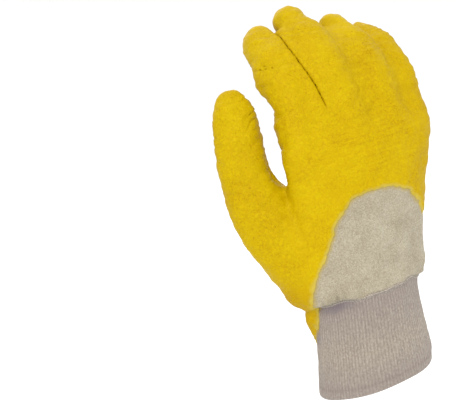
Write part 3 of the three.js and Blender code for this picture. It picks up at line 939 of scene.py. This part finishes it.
def knit_wrist():
    """Ribs on both sides of a folded double knit, rounded at the hem and tucked in at the seam."""
    n = RIB_COUNT * 8
    turns = np.linspace(0, 2 * math.pi, n, endpoint=False)
    top = SEAM_UP - 0.5
    middle = -CUFF_WALL / 2
    # height, depth in from the outside, and how much the ribs stand out there
    plain = [(up, 0.0, 1.0) for up in np.linspace(2.0, top - 1.2, 40)]
    hem = [(0.55, -0.25, 0.5), (0.15, -0.75, 0.3), (0.0, middle, 0.1), (0.15, -1.7, 0.3), (0.55, -2.15, 0.5)]
    inner = [(up, -CUFF_WALL, 0.7) for up in (1.2, 12, 24, 36, 48, top)]
    profile = inner[::-1] + hem[::-1] + [(1.0, 0.0, 0.6)] + plain + [(top, 0.0, 0.6)]
    wobble = 0.5 * np.sin(3 * turns + 1) + 0.4 * np.sin(5 * turns + 2.2)
    rib = (0.5 - 0.5 * np.cos(RIB_COUNT * turns)) ** 0.7
    from_shade = np.mod(turns - SHADE_TURN + math.pi, 2 * math.pi) - math.pi
    points, groove_shade, shade = [], [], []
    for up, into, ribbed in profile:
        wide, deep, lean = (v[0] for v in wrist_oval(np.array([up])))
        at = np.stack([turns * 40 / 6, np.full(n, up / 9), np.zeros(n)], 1)
        sway = 0.35 * noise3(at, 61) * min(1, up / 8) * (1 - smoothstep(top - 6, top, up))
        sway = sway + wrist_bulge(up, turns)
        face = 1 if into > middle else -1
        off = into - face * RIB_HEIGHT * ribbed * (1 - rib) + sway
        x = lean + (wide + off) * np.cos(turns)
        y = (deep + off) * np.sin(turns)
        lift = up + wobble * 0.8 * (1 - smoothstep(0, 16, up))
        lift = lift + seam_wave(turns) * smoothstep(40, top, up)
        lift = lift + HEM_TILT * np.cos(turns) * (1 - smoothstep(0, 25, up))
        points.append(np.stack([x, y, lift], 1))
        # painted shade between the ribs, and a faint darker line at the hem's fold
        between = (1 - rib) * (0.34 + 0.06 * smoothstep(30, 55, up))
        groove_shade.append((between + 0.3 * math.exp(-((up - HEM_FOLD) ** 2))) * ribbed)
        shade.append(0.75 * np.exp(-((from_shade / 0.35) ** 2) - ((top - up - 2.5) / 3.0) ** 2))
    points = np.concatenate(points)
    faces = tube_faces(len(profile), n)
    made = make_object("knit_wrist_rib", points * MM, faces)
    attribute(made, "groove_shade", np.concatenate(groove_shade))
    near_latex = smoothstep(-9, -2, latex_reach(points)) * smoothstep(-6, 2, points[:, 1])
    attribute(made, "shade", np.maximum(np.concatenate(shade), 0.45 * near_latex))
    attribute(made, "along", np.tile(turns * ROUND_WRIST, len(profile)))
    attribute(made, "up", np.repeat([up for up, _, _ in profile], n))
    outside = np.repeat([1.0 if into > middle else 0.0 for _, into, _ in profile], n)
    attribute(made, "stain", smoothstep(-2.5, 0.5, latex_reach(points)) * 0.7 * outside)
    made.data.materials.append(rib_look())
    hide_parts("knit_wrist")
    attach(made, "root")
    return made


def wrist_seam():
    """The overlocked roll between jersey and rib, gathered and lumpy."""
    n, m = 720, 14
    turns = np.linspace(0, 2 * math.pi, n, endpoint=False)
    wide, deep, lean = (v[0] for v in wrist_oval(np.array([SEAM_UP])))
    bulge = wrist_bulge(SEAM_UP, turns)
    lumps = 0.12 * np.sin(86 * turns) + 0.25 * noise3(np.stack([turns * 9, turns * 0, turns * 0], 1), 71)
    line = np.stack([lean + wide * np.cos(turns), deep * np.sin(turns), SEAM_UP + seam_wave(turns)], 1)
    covered = smoothstep(-1, 2, latex_reach(line))
    radius = (SEAM_RADIUS + lumps) * (1 - 0.5 * covered)
    phases = [2 * math.pi * k / m for k in range(m)]
    points = []
    for phase in phases:
        out = radius * math.cos(phase) - 0.35 + bulge
        rise = radius * 1.1 * math.sin(phase) + seam_wave(turns)
        x = lean + (wide + out) * np.cos(turns)
        y = (deep + out) * np.sin(turns)
        points.append(np.stack([x, y, SEAM_UP + rise], 1))
    points = np.stack(points, 1).reshape(-1, 3)
    faces = []
    for i in range(n):
        for k in range(m):
            a, b = i * m + k, i * m + (k + 1) % m
            c, d = ((i + 1) % n) * m + (k + 1) % m, ((i + 1) % n) * m + k
            faces.append((a, d, c, b))
    made = make_object("wrist_seam_thread", points * MM, faces)
    attribute(made, "along", np.repeat(turns * ROUND_WRIST, m))
    attribute(made, "up", np.tile(np.array(phases) * SEAM_RADIUS, n))
    made.data.materials.append(thread_look())
    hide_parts("wrist_seam")
    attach(made, "root")
    return made


latex_coating()
jersey_liner()
knit_wrist()
wrist_seam()


# The studio.

def studio():
    """A white floor and background with soft lights."""
    floor_mesh = bpy.data.meshes.new("floor")
    corners = [(x * FLOOR_HALF, y * FLOOR_HALF, 0) for x, y in ((-1, -1), (1, -1), (1, 1), (-1, 1))]
    floor_mesh.from_pydata(corners, [], [(0, 1, 2, 3)])
    floor = bpy.data.objects.new("floor", floor_mesh)
    floor.location = (0, 0, FLOOR_UP)
    look = Look("floor", 0.9, 0.1)
    white = look.ramp(look.noise(400, 1.0), [(0.3, (0.965,) * 3), (0.7, (0.975,) * 3)])
    look.finish(white, look.bump(look.noise(60, 1.0), 0.01, 0.01))
    floor_mesh.materials.append(look.material)
    bpy.context.scene.collection.objects.link(floor)
    world = bpy.data.worlds.new("studio")
    world.use_nodes = True
    world.node_tree.nodes["Background"].inputs[0].default_value = (1, 1, 1, 1)
    world.node_tree.nodes["Background"].inputs[1].default_value = 1.06
    bpy.context.scene.world = world
    for name, place, size, power in (
        ("key", (-0.55, -0.95, 1.0), 0.6, 8.0),
        ("fill", (0.9, -0.9, 0.35), 1.0, 0.3),
        ("top", (0.1, 0.2, 1.3), 1.0, 3.0),
        ("palm", (0.3, 1.1, 0.7), 1.0, 4.0),
    ):
        light = bpy.data.objects.new(name, bpy.data.lights.new(name, "AREA"))
        light.data.size = size
        light.data.energy = power
        light.location = place
        aim = Vector(GLOVE_MIDDLE) - light.location
        light.rotation_mode = "QUATERNION"
        light.rotation_quaternion = aim.to_track_quat("-Z", "Y")
        bpy.context.scene.collection.objects.link(light)


studio()
bpy.context.scene.view_settings.view_transform = "Standard"
